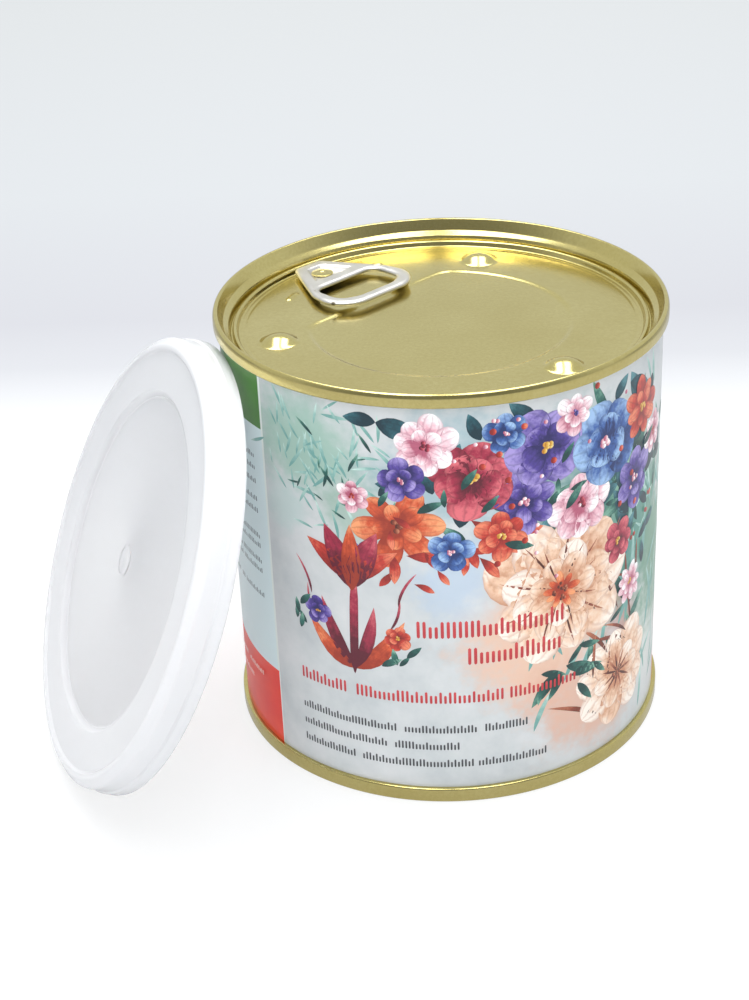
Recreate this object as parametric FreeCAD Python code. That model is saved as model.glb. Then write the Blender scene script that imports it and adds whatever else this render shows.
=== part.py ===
"""Nutritional drink powder tin: a double-seamed steel can with an easy-open end, and its plastic overcap.

Units are millimetres.  The can stands on the floor, its axis is Z, and the origin is the centre of its foot.
The overcap is off the can: it stands on its edge and leans on the can's left side.
"""
import FreeCAD
import Part
import os
from math import atan2, cos, degrees, hypot, radians, sin, sqrt, tan
from FreeCAD import Vector

# --- driving dimensions of the can ------------------------------------------------------------------------
can_height = 102.2
body_radius = 50.0
body_sheet = 0.25
top_seam_proud = 1.2           # how far each double seam stands out from the side wall
bottom_seam_proud = 1.0
top_seam_height = 3.2
bottom_seam_height = 3.5
top_seam_thickness = 1.15
bottom_seam_thickness = 1.2
crown_shoulder_inset = 0.3      # the upper seam's outer face leans in towards its crown
crown_shoulder_drop = 1.0
crown_rounds = (1.6, 0.85, 0.3)
foot_flat = 0.5                # flat under the lower seam, on which the can stands
seam_lip_round = 0.5
seam_hook = 1.3                # how far the body wall reaches up or down inside a seam
end_sheet = 0.3
contents_clearance = 0.3       # between the filling and the two ends

# --- easy-open end: insets from the seam's inner face, and depths below the seam's top ----------------------
chuck_inset = 1.05
chuck_depth = 2.75
ledge_inset = 2.35
ledge_depth = 3.55
ledge_wall_inset = 2.6
ledge_wall_depth = 4.8
groove_outer_inset = 2.7
groove_inner_inset = 3.2
groove_depth = 5.4
crest_outer_inset = 3.3
crest_inner_inset = 4.15
crest_depth = 4.3
panel_inset = 4.45
panel_depth = 5.6
chuck_round = 0.8
ledge_rounds = (0.5, 0.6)
groove_round = 0.2
crest_rounds = (0.2, 0.8)
panel_round = 0.35

# --- pressed features of the easy-open panel: insets from its edge ------------------------------------------
dome_count = 3
dome_inset = 8.4
dome_first_azimuth = 75.0
dome_radius = 4.3
dome_height = 1.7
recess_inset = 15.9
recess_chord_inset = 25.3      # of the recess's straight side, towards the tab
recess_depth = 0.35
recess_corner = 3.0
bead_inset = 7.7
bead_spread = 20.0             # degrees either side of the tab
bead_length = 4.7
bead_width = 1.1
bead_height = 0.35

# --- bottom end: insets from the seam's inner face, and heights above the floor -----------------------------
base_chuck_inset = 0.7
base_chuck_height = 4.2
base_groove_outer_inset = 2.3
base_groove_inner_inset = 4.1
base_groove_height = 5.2
base_panel_inset = 5.3
base_panel_height = 4.2
base_ring_insets = (4.5, 13.5)
base_ring_step = 0.6
base_lip_round = 0.45
base_groove_round = 0.5
base_panel_round = 0.4
base_ring_round = 0.3

# --- pull tab: u runs across it, v runs from the can's axis out through its rivet ---------------------------
tab_azimuth = 135.3
tab_swing = 0.4                # degrees by which the tab has turned on its rivet
tab_nose_inset = 0.8           # from the panel's edge to the nose that breaks the score
tab_length = 26.8
tab_half_width = 13.35
tab_shoulder_half_width = 12.15
tab_shoulder_from_nose = 15.1
tab_shoulder_length = 6.35
tab_heel_half_width = 8.95
tab_nose_half_width = 4.0
tab_heel_round = 8.0
tab_shoulder_rounds = (6.0, 7.0)
tab_nose_round = 2.0
tab_thickness = 1.35
tab_edge_radius = 0.64
tab_rim = 2.6                  # width of the curled rim round the island
tab_side = 3.65                # width of the curled rim beside the finger hole
tab_heel_bar = 3.05            # width of the curled rim at the heel
tab_bar = 3.0                  # width of the curled bar between the hole and the rivet island
tab_hole_length = 10.6
tab_hole_chamfers = (4.3, 0.1)
tab_hole_chamfer_length = 1.95
tab_hole_rounds = (5.5, 3.4, 3.0)
tab_island_depth = 1.1
tab_island_slope = 0.9         # how far the island's walls lean inward
tab_island_rounds = (1.4, 1.0)
tab_lift = 0.6                 # degrees by which the heel end is raised about the rivet
tab_panel_clearance = 0.65     # under the island, between the tab and the panel
rivet_from_nose = 5.6
rivet_stem_radius = 1.6
rivet_head_radius = 2.6
rivet_head_height = 0.35
rivet_head_round = 0.15
rivet_dimple_radius = 0.7
rivet_dimple_depth = 0.2
rivet_clearance = 0.12

# --- plastic overcap: widths inward from its skirt's inside, and depths below its top face ------------------
cap_clearance = 0.15           # between the cap's inside and the can's seam
cap_wall = 0.7
cap_height = 8.2
cap_shoulder_depth = 1.7
cap_shoulder_slant = 0.15
cap_rib_inset = 1.45           # stacking rib just inside the shoulder
cap_rib_width = 1.7
cap_rib_height = 0.6
cap_band_width = 8.8           # flat band between the rib and the sunk middle
cap_step_width = 1.8
cap_middle_drop = 1.2
cap_bead_depth = 5.6
cap_bead_reach = 0.45
cap_lip_height = 1.7
cap_lip_reach = 0.5
cap_lip_round = 0.25
cap_lead_in = 0.35             # widening of the mouth, inside the lip
cap_snap_height = 1.6          # of the inward bead that holds under the seam, above the lip
cap_snap_reach = 0.55
cap_gate_radius = 3.5
cap_gate_width = 0.7
cap_gate_height = 0.25
cap_gate_round = 0.1
cap_step_round = 0.9
cap_rib_round = 0.4
cap_shoulder_rounds = (1.2, 1.3)
cap_bead_round = 0.4
cap_lip_top_round = 0.3
cap_mouth_round = 0.2
cap_snap_round = 0.5
cap_inner_round = 0.3

# --- where the overcap stands -------------------------------------------------------------------------------
cap_azimuth = 199.3            # direction from the can to the cap, and the way its face looks
cap_face_rise = 24.0           # degrees by which its face looks up
cap_lean_gap = 0.1             # between the cap's edge and the can's wall

# --- sizes and levels that several pieces share -------------------------------------------------------------
top_seam_radius = body_radius + top_seam_proud
top_seam_inner = top_seam_radius - top_seam_thickness
bottom_seam_radius = body_radius + bottom_seam_proud
bottom_seam_inner = bottom_seam_radius - bottom_seam_thickness
slot_radius = body_radius - body_sheet
top_seam_foot = can_height - top_seam_height
top_hook_end = top_seam_foot + seam_hook
bottom_hook_end = bottom_seam_height - seam_hook
contents_top = can_height - max(groove_depth, panel_depth + recess_depth) - end_sheet - contents_clearance
contents_bottom = base_groove_height + end_sheet + contents_clearance
panel_top = can_height - panel_depth
panel_radius = top_seam_inner - panel_inset
tab_nose = panel_radius - tab_nose_inset
tab_heel = tab_nose - tab_length
tab_shoulder = tab_nose - tab_shoulder_from_nose
rivet_v = tab_nose - rivet_from_nose
hole_near = tab_heel + tab_heel_bar
hole_far = hole_near + tab_hole_length
hole_half_width = tab_half_width - tab_side
tab_floor_thickness = tab_thickness - tab_island_depth
tab_bottom = panel_top + tab_panel_clearance
island_top = tab_bottom + tab_floor_thickness


def tangent_arc(before, corner, after, radius):
    """Ends and middle of the arc that rounds a corner; each end keeps to its own half of its side."""
    towards = before - corner
    away = after - corner
    room = 0.49 * min(towards.Length, away.Length)
    towards.normalize()
    away.normalize()
    half = towards.getAngle(away) / 2
    radius = min(radius, room * tan(half))
    reach = radius / tan(half)
    bisector = (towards + away).normalize()
    middle = corner + bisector * (radius / sin(half) - radius)
    return corner + towards * reach, middle, corner + away * reach


def rounded_path(points, radii, closed):
    """Edges of a chain of straight stretches with rounded corners; a radius of 0 keeps a corner sharp."""
    count = len(points)
    stations = []
    for i, (point, radius) in enumerate(zip(points, radii)):
        inner = closed or 0 < i < count - 1
        if inner and radius > 0:
            before = points[i - 1]
            after = points[(i + 1) % count]
            stations.append(tangent_arc(before, point, after, radius))
        else:
            stations.append((point,))
    edges = []
    for i, station in enumerate(stations):
        if len(station) == 3:
            edges.append(Part.Arc(*station).toShape())
        if i == count - 1 and not closed:
            break
        start = station[-1]
        end = stations[(i + 1) % count][0]
        if start.distanceToPoint(end) > 1e-6:
            edges.append(Part.makeLine(start, end))
    return edges


def offset_chain(points, gap):
    """The chain moved sideways by gap, to the right of its direction, with its corners kept sharp."""
    sides = []
    for (x0, y0), (x1, y1) in zip(points, points[1:]):
        length = hypot(x1 - x0, y1 - y0)
        sides.append(((y1 - y0) / length, (x0 - x1) / length))
    moved = [(points[0][0] + sides[0][0] * gap, points[0][1] + sides[0][1] * gap)]
    for (x, y), (ax, ay), (bx, by) in zip(points[1:-1], sides, sides[1:]):
        scale = gap / (1 + ax * bx + ay * by)
        moved.append((x + (ax + bx) * scale, y + (ay + by) * scale))
    moved.append((points[-1][0] + sides[-1][0] * gap, points[-1][1] + sides[-1][1] * gap))
    return moved


def offset_radii(points, radii, gap):
    """Corner radii of the moved chain: smaller on the inside of a turn and larger on the outside."""
    moved = [0]
    for i in range(1, len(points) - 1):
        (x0, y0), (x1, y1), (x2, y2) = points[i - 1:i + 2]
        left_turn = (x1 - x0) * (y2 - y1) - (y1 - y0) * (x2 - x1) > 0
        moved.append(max(radii[i] + gap if left_turn else radii[i] - gap, 0.05))
    moved.append(0)
    return moved


def lathe(points, radii):
    """Solid of revolution about Z of a closed outline given as (radius, height) points."""
    corners = [Vector(r, 0, z) for r, z in points]
    wire = Part.Wire(rounded_path(corners, radii, True))
    solid = Part.Face(wire).revolve(Vector(0, 0, 0), Vector(0, 0, 1), 360)
    return solid


def ring(inner, outer, low, height):
    """A plain ring about Z."""
    return Part.makeCylinder(outer, height, Vector(0, 0, low)).cut(
        Part.makeCylinder(inner, height, Vector(0, 0, low)))


def prism(points, radii, low, height):
    """Upright prism over a closed rounded outline given as (x, y) points."""
    corners = [Vector(x, y, low) for x, y in points]
    wire = Part.Wire(rounded_path(corners, radii, True))
    return Part.Face(wire).extrude(Vector(0, 0, height))


def mirrored(points, radii):
    """Both halves of an outline that is given for u > 0 from one end of the v axis to the other."""
    left = [(-u, v) for u, v in reversed(points)]
    return list(points) + left, list(radii) + list(reversed(radii))


def turned(shape, azimuth):
    """A shape drawn with v along +Y, turned about Z so that v points along the azimuth."""
    copy = shape.copy()
    copy.rotate(Vector(0, 0, 0), Vector(0, 0, 1), azimuth - 90)
    return copy


def make_body():
    """The printed side wall with its sealed filling, one solid; the wall's ends reach into the two seams."""
    filling = Part.makeCylinder(body_radius, contents_top - contents_bottom, Vector(0, 0, contents_bottom))
    wall = ring(slot_radius, body_radius, bottom_hook_end, top_hook_end - bottom_hook_end)
    return filling.fuse(wall).removeSplitter()


def close_end(points, radii, crown, gap, hook_end, seam_lip):
    """Outline of an end from its visible side, which runs from the seam's lip to the axis.

    The sheet starts at the point numbered crown.  Its hidden side is the visible side moved by gap, and comes
    back to the slot for the wall.
    """
    sheet = points[crown:]
    under = offset_chain(sheet, gap)
    under_radii = offset_radii(sheet, radii[crown:], gap)
    (r0, z0), (r1, z1) = under[0], under[1]
    slot_inner = r0 + (r1 - r0) * (hook_end - z0) / (z1 - z0)
    back = under[:0:-1] + [(slot_inner, hook_end), (body_radius, hook_end), (body_radius, seam_lip)]
    back_radii = under_radii[:0:-1] + [0, 0, 0]
    return lathe(points + back, radii + back_radii)


def make_top_end():
    """The easy-open end: seam, ledge, groove, crest and panel, all pressed in one sheet."""
    top = can_height
    inner = top_seam_inner
    points = [
        (top_seam_radius, top_seam_foot),
        (top_seam_radius, top - crown_shoulder_drop),
        (top_seam_radius - crown_shoulder_inset, top),
        (inner, top),
        (inner - chuck_inset, top - chuck_depth),
        (inner - ledge_inset, top - ledge_depth),
        (inner - ledge_wall_inset, top - ledge_wall_depth),
        (inner - groove_outer_inset, top - groove_depth),
        (inner - groove_inner_inset, top - groove_depth),
        (inner - crest_outer_inset, top - crest_depth),
        (inner - crest_inner_inset, top - crest_depth),
        (panel_radius, panel_top),
        (0, panel_top),
    ]
    radii = [seam_lip_round, *crown_rounds, chuck_round, *ledge_rounds]
    radii += [groove_round, groove_round, *crest_rounds, panel_round, 0]
    end = close_end(points, radii, 3, -end_sheet, top_hook_end, top_seam_foot)
    end = press_domes(end)
    end = press_recess(end)
    for side in (-1, 1):
        end = end.fuse(make_bead(tab_azimuth + side * bead_spread))
    return end.fuse(make_rivet()).removeSplitter()


def dome_cap(azimuth, radius, height, low):
    """A spherical cap that rises by height over a circle of the given radius, with the ball's poles level."""
    sphere_radius = (radius ** 2 + height ** 2) / (2 * height)
    distance = panel_radius - dome_inset
    x = distance * cos(radians(azimuth))
    y = distance * sin(radians(azimuth))
    ball = Part.makeSphere(sphere_radius, Vector(x, y, low + height - sphere_radius), Vector(1, 0, 0))
    block = Part.makeCylinder(sphere_radius, sphere_radius, Vector(x, y, low))
    return ball.common(block)


def press_domes(end):
    """Three round domes on a circle, each hollow beneath like the sheet they are pressed in."""
    for i in range(dome_count):
        azimuth = dome_first_azimuth + i * 360 / dome_count
        outer = dome_cap(azimuth, dome_radius, dome_height, panel_top)
        hollow = dome_cap(azimuth, dome_radius - end_sheet, dome_height, panel_top - end_sheet)
        end = end.fuse(outer).cut(hollow)
    return end


def recess_prism(grow, low, height):
    """Prism over the panel's recess: a circle cut by a straight chord towards the tab, with round corners."""
    radius = panel_radius - recess_inset + grow
    chord = panel_radius - recess_chord_inset + grow
    fillet = recess_corner + grow
    # the corner arcs touch the chord from inside and the circle from inside
    centre_v = chord - fillet
    centre_u = sqrt((radius - fillet) ** 2 - centre_v ** 2)
    stretch = radius / (radius - fillet)
    on_circle = Vector(centre_u * stretch, centre_v * stretch, low)
    on_chord = Vector(centre_u, chord, low)
    slant = radians((90 + degrees(atan2(centre_v, centre_u))) / 2)
    middle = Vector(centre_u + fillet * cos(slant), centre_v + fillet * sin(slant), low)

    def flip(point):
        return Vector(-point.x, point.y, point.z)

    edges = [
        Part.Arc(flip(on_circle), Vector(0, -radius, low), on_circle).toShape(),
        Part.Arc(on_circle, middle, on_chord).toShape(),
        Part.makeLine(on_chord, flip(on_chord)),
        Part.Arc(flip(on_chord), flip(middle), flip(on_circle)).toShape(),
    ]
    solid = Part.Face(Part.Wire(edges)).extrude(Vector(0, 0, height))
    return turned(solid, tab_azimuth)


def press_recess(end):
    """The panel's sunk middle, one sheet thick."""
    sunk_top = panel_top - recess_depth
    tray = recess_prism(end_sheet, sunk_top - end_sheet, recess_depth + end_sheet / 2)
    return end.fuse(tray).cut(recess_prism(0, sunk_top, recess_depth + end_sheet))


def make_bead(azimuth):
    """A short raised bead: a round bar that lies along the circle and shows its top above the panel."""
    half = bead_width / 2
    radius = (half ** 2 + bead_height ** 2) / (2 * bead_height)
    low = panel_top + bead_height - radius
    straight = bead_length - bead_width
    distance = panel_radius - bead_inset
    start = Vector(-straight / 2, distance, low)
    bar = Part.makeCylinder(radius, straight, start, Vector(1, 0, 0))
    for end_u in (-straight / 2, straight / 2):
        bar = bar.fuse(Part.makeSphere(radius, Vector(end_u, distance, low), Vector(1, 0, 0)))
    corner = Vector(-bead_length / 2 - half, distance - bead_width, panel_top - end_sheet / 2)
    keep = Part.makeBox(bead_length + bead_width, 2 * bead_width, bead_height + end_sheet / 2, corner)
    return turned(bar.common(keep), azimuth)


def make_rivet():
    """The rivet that is drawn up from the panel, holds the tab and ends in a flat head with a dimple."""
    head_low = island_top + rivet_clearance
    head_top = head_low + rivet_head_height
    base = panel_top - end_sheet / 2
    stem = Part.makeCylinder(rivet_stem_radius, head_low - base, Vector(0, rivet_v, base))
    head = Part.makeCylinder(rivet_head_radius, rivet_head_height, Vector(0, rivet_v, head_low))
    head = head.makeFillet(rivet_head_round, [e for e in head.Edges if e.isClosed()])
    dimple = Part.makeCone(rivet_dimple_radius / 2, rivet_dimple_radius, rivet_dimple_depth,
                           Vector(0, rivet_v, head_top - rivet_dimple_depth))
    return turned(stem.fuse(head).cut(dimple), tab_azimuth)


def make_bottom_end():
    """The bottom end: seam, foot and a panel with stepped rings, pressed in one sheet."""
    inner = bottom_seam_inner
    foot_round = (bottom_seam_thickness - foot_flat) / 2
    base_panel_radius = inner - base_panel_inset
    points = [
        (bottom_seam_radius, bottom_seam_height),
        (bottom_seam_radius, 0),
        (inner, 0),
        (inner - base_chuck_inset, base_chuck_height),
        (inner - base_groove_outer_inset, base_groove_height),
        (inner - base_groove_inner_inset, base_groove_height),
        (base_panel_radius, base_panel_height),
    ]
    radii = [base_lip_round, foot_round, foot_round] + 3 * [base_groove_round] + [base_panel_round]
    level = base_panel_height
    for inset in base_ring_insets:
        points.append((base_panel_radius - inset, level))
        level += base_ring_step
        points.append((base_panel_radius - inset - base_ring_step, level))
        radii += [base_ring_round, base_ring_round]
    points.append((0, level))
    radii.append(0)
    return close_end(points, radii, 2, end_sheet, bottom_hook_end, bottom_seam_height)


def make_pull_tab():
    """The ring-pull: a curled plate with a finger hole, and a sunk island that the rivet holds."""
    outline, rounds = mirrored(
        [(tab_heel_half_width, tab_heel),
         (tab_half_width, tab_shoulder - tab_shoulder_length),
         (tab_shoulder_half_width, tab_shoulder),
         (tab_nose_half_width, tab_nose)],
        [tab_heel_round, *tab_shoulder_rounds, tab_nose_round])
    plate = prism(outline, rounds, tab_bottom, tab_thickness)
    plate = plate.makeFillet(tab_edge_radius, level_edges(plate.Edges))
    near_chamfer, far_chamfer = tab_hole_chamfers
    hole, rounds = mirrored(
        [(hole_half_width - near_chamfer, hole_near),
         (hole_half_width, hole_near + tab_hole_chamfer_length),
         (hole_half_width - far_chamfer, hole_far)],
        tab_hole_rounds)
    plate = plate.cut(prism(hole, rounds, tab_bottom - 1, tab_thickness + 2))
    hole_edges = [edge for edge in level_edges(plate.Edges) if in_hole(edge)]
    plate = plate.makeFillet(tab_edge_radius, hole_edges)
    plate = plate.cut(island_cutter()).cut(rivet_hole())
    plate.rotate(Vector(0, rivet_v, tab_bottom), Vector(1, 0, 0), -tab_lift)
    plate.rotate(Vector(0, rivet_v, 0), Vector(0, 0, 1), tab_swing)
    return turned(plate, tab_azimuth)


def level_edges(edges):
    """The edges that lie in a level plane."""
    return [edge for edge in edges if edge.BoundBox.ZLength < 1e-6]


def in_hole(edge):
    """Whether an edge lies on the finger hole's side."""
    box = edge.BoundBox
    slack = 0.01
    inside_u = max(abs(box.XMin), abs(box.XMax)) < hole_half_width + slack
    inside_v = hole_near - slack < box.YMin and box.YMax < hole_far + slack
    return inside_u and inside_v


def island_section(shrink, level):
    """Closed wire round the rivet island, inside the curled rim, at one level."""
    near = hole_far + tab_bar + shrink
    far = tab_nose - tab_rim - shrink / 2
    flank = (tab_shoulder_half_width - tab_nose_half_width) / (tab_nose - tab_shoulder)
    slant = sqrt(1 + flank ** 2)

    def half_width(v):
        outer = tab_nose_half_width + (tab_nose - v) * flank
        return outer - (tab_rim + shrink) * slant

    points, radii = mirrored([(half_width(near), near), (half_width(far), far)], tab_island_rounds)
    corners = [Vector(u, v, level) for u, v in points]
    return Part.Wire(rounded_path(corners, radii, True))


def island_cutter():
    """The sunk island's space: two rounded sections with sloping walls between them."""
    top_level = tab_bottom + tab_thickness + 0.01
    sections = [island_section(tab_island_slope, island_top), island_section(0, top_level)]
    return Part.makeLoft(sections, True, True)


def rivet_hole():
    """The hole in the island that the rivet's stem fills."""
    radius = rivet_stem_radius + rivet_clearance
    return Part.makeCylinder(radius, tab_thickness + 2, Vector(0, rivet_v, tab_bottom - 1))


def make_overcap():
    """The snap-on cap: a sunk middle, a stacking rib, a shoulder, a skirt with beads, and a gate mark."""
    inside = top_seam_radius + cap_clearance
    skirt = inside + cap_wall
    lip = skirt + cap_lip_reach
    rib_outer = inside - cap_rib_inset
    rib_inner = rib_outer - cap_rib_width
    band_inner = rib_inner - cap_band_width
    middle_radius = band_inner - cap_step_width
    band = -cap_rib_height
    middle = band - cap_middle_drop
    snap = cap_snap_height - cap_height
    outer = [(0, middle)]
    outer += gate_ring(middle)
    outer += [
        (middle_radius, middle),
        (band_inner, band),
        (rib_inner, band),
        (rib_inner + cap_rib_height, 0),
        (rib_outer, 0),
        (skirt - cap_shoulder_slant, -cap_shoulder_depth),
        (skirt, cap_bead_reach - cap_bead_depth),
        (skirt + cap_bead_reach, -cap_bead_depth),
        (lip, cap_lip_height - cap_height),
        (lip, -cap_height),
    ]
    outer_rounds = [0] + 4 * [cap_gate_round] + 2 * [cap_step_round] + 2 * [cap_rib_round]
    outer_rounds += [*cap_shoulder_rounds, cap_bead_round, cap_lip_top_round, cap_bead_round, cap_lip_round]
    under = [
        (inside + cap_lead_in, -cap_height),
        (inside, cap_lead_in - cap_height),
        (inside - cap_snap_reach, snap),
        (inside, snap + 2 * cap_snap_reach),
        (inside, -cap_wall - cap_shoulder_depth / 2),
        (rib_outer, -cap_wall),
        (rib_inner + cap_wall, -cap_wall),
        (rib_inner + cap_wall / 4, band - cap_wall),
        (band_inner + cap_wall / 4, band - cap_wall),
        (middle_radius + cap_wall / 4, middle - cap_wall),
        (0, middle - cap_wall),
    ]
    under_rounds = [0, cap_mouth_round, cap_snap_round, cap_snap_round, cap_step_round, cap_snap_round]
    under_rounds += 2 * [cap_inner_round] + 2 * [cap_snap_round] + [0]
    return lathe(outer + under, outer_rounds + under_rounds), lip


def gate_ring(middle):
    """The low ring round the moulding gate, on the sunk middle."""
    half = cap_gate_width / 2
    top = middle + cap_gate_height
    return [
        (cap_gate_radius - half, middle),
        (cap_gate_radius - half / 2, top),
        (cap_gate_radius + half / 2, top),
        (cap_gate_radius + half, middle),
    ]


def place_overcap(cap, lip):
    """Stand the cap on its edge and lean its rim on the can's wall.

    The face looks away from the can along cap_azimuth and up by cap_face_rise.  Its centre lies so that the
    rounded lip's lowest point is on the floor and its nearest point is cap_lean_gap from the can's wall."""
    rise = radians(cap_face_rise)
    edge_depth = cap_height - cap_lip_round
    edge_radius = lip - cap_lip_round
    height = edge_depth * sin(rise) + edge_radius * cos(rise) + cap_lip_round
    reach = edge_depth * cos(rise) + edge_radius * sin(rise) + cap_lip_round
    radial = body_radius + cap_lean_gap + reach
    cap.rotate(Vector(0, 0, 0), Vector(0, 1, 0), 90 - cap_face_rise)
    cap.translate(Vector(radial, 0, height))
    cap.rotate(Vector(0, 0, 0), Vector(0, 0, 1), cap_azimuth)
    return cap


os.makedirs("parts", exist_ok=True)
blank_cap, lip_radius = make_overcap()
nodes = {
    "tin_body": make_body(),
    "top_end": make_top_end(),
    "bottom_end": make_bottom_end(),
    "pull_tab": make_pull_tab(),
    "overcap": place_overcap(blank_cap, lip_radius),
}
for name, shape in nodes.items():
    solid = shape.Solids[0]
    print(name, "solids", len(shape.Solids), "valid", solid.isValid(), "volume", round(solid.Volume, 1),
          "box", [round(v, 2) for v in (solid.BoundBox.XMin, solid.BoundBox.YMin, solid.BoundBox.ZMin,
                                        solid.BoundBox.XMax, solid.BoundBox.YMax, solid.BoundBox.ZMax)])
    solid.exportStep("parts/" + name + ".step")
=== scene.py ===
"""Looks of a drink powder tin: a printed steel can with a ring-pull end, and its loose plastic overcap.

Lengths are in millimetres until a surface is made; the label is drawn flat and then wrapped round the can.
"""
import math
import bmesh
import bpy
import numpy as np
from mathutils import Matrix


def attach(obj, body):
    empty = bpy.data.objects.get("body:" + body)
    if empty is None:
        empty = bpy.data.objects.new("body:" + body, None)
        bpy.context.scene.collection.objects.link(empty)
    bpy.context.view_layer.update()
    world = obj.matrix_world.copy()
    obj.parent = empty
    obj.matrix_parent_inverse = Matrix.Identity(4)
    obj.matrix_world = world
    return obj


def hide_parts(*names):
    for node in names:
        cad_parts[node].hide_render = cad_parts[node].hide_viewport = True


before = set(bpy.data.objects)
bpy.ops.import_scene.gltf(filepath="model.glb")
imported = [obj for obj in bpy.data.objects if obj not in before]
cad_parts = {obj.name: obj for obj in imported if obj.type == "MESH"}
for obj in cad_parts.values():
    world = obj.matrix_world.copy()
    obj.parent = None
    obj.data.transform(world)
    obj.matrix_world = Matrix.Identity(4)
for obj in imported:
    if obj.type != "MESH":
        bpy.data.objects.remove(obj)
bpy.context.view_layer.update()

MM = 0.001
BODY_RADIUS = 50.0
PANEL_LEVEL = 96.6             # the plain face of the easy-open panel
TAB_AZIMUTH = 135.3            # degrees round the can's axis, to the tab's nose
RIVET = 39.2                   # from the can's axis, along the tab's azimuth
ARC_STEP = 0.14                # between two points of a rounded corner


# ---------------------------------------------------------------- surfaces

def rounded(corners, radii, closed=False):
    """A chain of straight runs with rounded corners.

    Each corner gets an arc whose centre lies on the bisector, radius / sin(half the corner's angle) away."""
    corners = np.asarray(corners, float)
    count = len(corners)
    chain = []
    for i, (corner, radius) in enumerate(zip(corners, radii)):
        if radius == 0 or (not closed and i in (0, count - 1)):
            chain.append(corner[None])
            continue
        back = corners[i - 1] - corner
        ahead = corners[(i + 1) % count] - corner
        room = 0.49 * min(np.hypot(*back), np.hypot(*ahead))
        back = back / np.hypot(*back)
        ahead = ahead / np.hypot(*ahead)
        half = math.acos(np.clip(back @ ahead, -1, 1)) / 2
        radius = min(radius, room * math.tan(half))
        bisector = (back + ahead) / np.hypot(*(back + ahead))
        centre = corner + bisector * radius / math.sin(half)
        start = corner + back * radius / math.tan(half) - centre
        stop = corner + ahead * radius / math.tan(half) - centre
        first = math.atan2(start[1], start[0])
        sweep = (math.atan2(stop[1], stop[0]) - first + math.pi) % math.tau - math.pi
        turn = first + sweep * np.linspace(0, 1, max(4, math.ceil(abs(sweep) * radius / ARC_STEP) + 1))
        chain.append(centre + radius * np.stack([np.cos(turn), np.sin(turn)], -1))
    return np.concatenate(chain)


def mirrored(half):
    """The corners of a shape that is even about its middle line, from those of its right half."""
    return half + [(-u, v) for u, v in reversed(half)]


def resampled(path, count):
    """A closed chain of points, taken again at even steps along it."""
    closed = np.vstack([path, path[:1]])
    along = np.concatenate([[0], np.cumsum(np.hypot(*np.diff(closed, axis=0).T))])
    even = np.linspace(0, along[-1], count, endpoint=False)
    return np.stack([np.interp(even, along, closed[:, 0]), np.interp(even, along, closed[:, 1])], -1)


def polar(path, middle):
    """Angles and distances of a chain of points round a middle point, in order of angle."""
    angle = np.arctan2(path[:, 1] - middle[1], path[:, 0] - middle[0])
    order = np.argsort(angle)
    return angle[order], np.hypot(*(path - middle).T)[order]


def distance_to(path, u, v):
    """Least distance from each point to a closed chain of points."""
    start, stop = path, np.roll(path, -1, 0)
    run = stop - start
    shape = (-1,) + (1,) * np.ndim(u)
    du, dv = u - start[:, 0].reshape(shape), v - start[:, 1].reshape(shape)
    ru, rv = run[:, 0].reshape(shape), run[:, 1].reshape(shape)
    t = np.clip((du * ru + dv * rv) / np.maximum(ru ** 2 + rv ** 2, 1e-9), 0, 1)
    return np.min(np.hypot(du - t * ru, dv - t * rv), 0)


def smooth(value, low, high):
    """The S-shaped step 3t^2 - 2t^3, from 0 at low to 1 at high."""
    t = np.clip((value - low) / (high - low), 0, 1)
    return t * t * (3 - 2 * t)


def soft_least(sharpness, *values):
    """The least of several values, with its creases rounded off: the sharper, the less."""
    return -np.logaddexp.reduce(-sharpness * np.stack(np.broadcast_arrays(*values))) / sharpness


def lathe(profile, turns):
    """Points of a surface of revolution about Z: every profile point (r, z) at every turn angle."""
    angle = np.arange(turns) * math.tau / turns
    radius, height = profile[:, :1], profile[:, 1:]
    return np.stack([radius * np.cos(angle), radius * np.sin(angle), height + 0 * angle], -1)


def grid_faces(rows, columns, wrap_rows=False, wrap_columns=False):
    """Four-cornered faces of a grid of points; a wrapped direction joins its last line to its first."""
    i, j = np.meshgrid(np.arange(rows if wrap_rows else rows - 1),
                       np.arange(columns if wrap_columns else columns - 1), indexing="ij")
    down, across = (i + 1) % rows, (j + 1) % columns
    corners = [i * columns + j, i * columns + across, down * columns + across, down * columns + j]
    return np.stack(corners, -1).reshape(-1, 4)


def piece(name, points, faces, finish, slot, stands_for=None, fields=None, shell=False):
    """Puts a surface into the scene as a piece that rides on the can.

    A field is a vector for every point, which the finish reads; a shell gets its seam joined and its faces
    turned outward."""
    mesh = bpy.data.meshes.new(name)
    mesh.from_pydata((points.reshape(-1, 3) * MM).tolist(), [], faces.tolist())
    for field, values in (fields or {}).items():
        layer = mesh.attributes.new(field, "FLOAT_VECTOR", "POINT")
        layer.data.foreach_set("vector", np.asarray(values, np.float32).ravel())
    if shell:
        work = bmesh.new()
        work.from_mesh(mesh)
        bmesh.ops.remove_doubles(work, verts=work.verts, dist=1e-7)
        bmesh.ops.recalc_face_normals(work, faces=work.faces)
        work.to_mesh(mesh)
        work.free()
    mesh.shade_smooth()
    thing = bpy.data.objects.new(name, mesh)
    bpy.context.scene.collection.objects.link(thing)
    mesh.materials.append(finish)
    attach(thing, "root")
    if stands_for:
        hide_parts(stands_for)
    return thing


def turned(name, profile, turns, finish, slot, **more):
    """A piece made on the lathe from a profile about the can's axis."""
    points = lathe(profile, turns)
    piece(name, points, grid_faces(*points.shape[:2], wrap_columns=True), finish, slot, **more)


def tab_place(u, v, z):
    """Points given across the tab, outward along it and up, turned to the tab's azimuth."""
    turn = math.radians(TAB_AZIMUTH - 90)
    return np.stack([u * math.cos(turn) - v * math.sin(turn), u * math.sin(turn) + v * math.cos(turn), z], -1)


# ---------------------------------------------------------------- shader nodes

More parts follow.
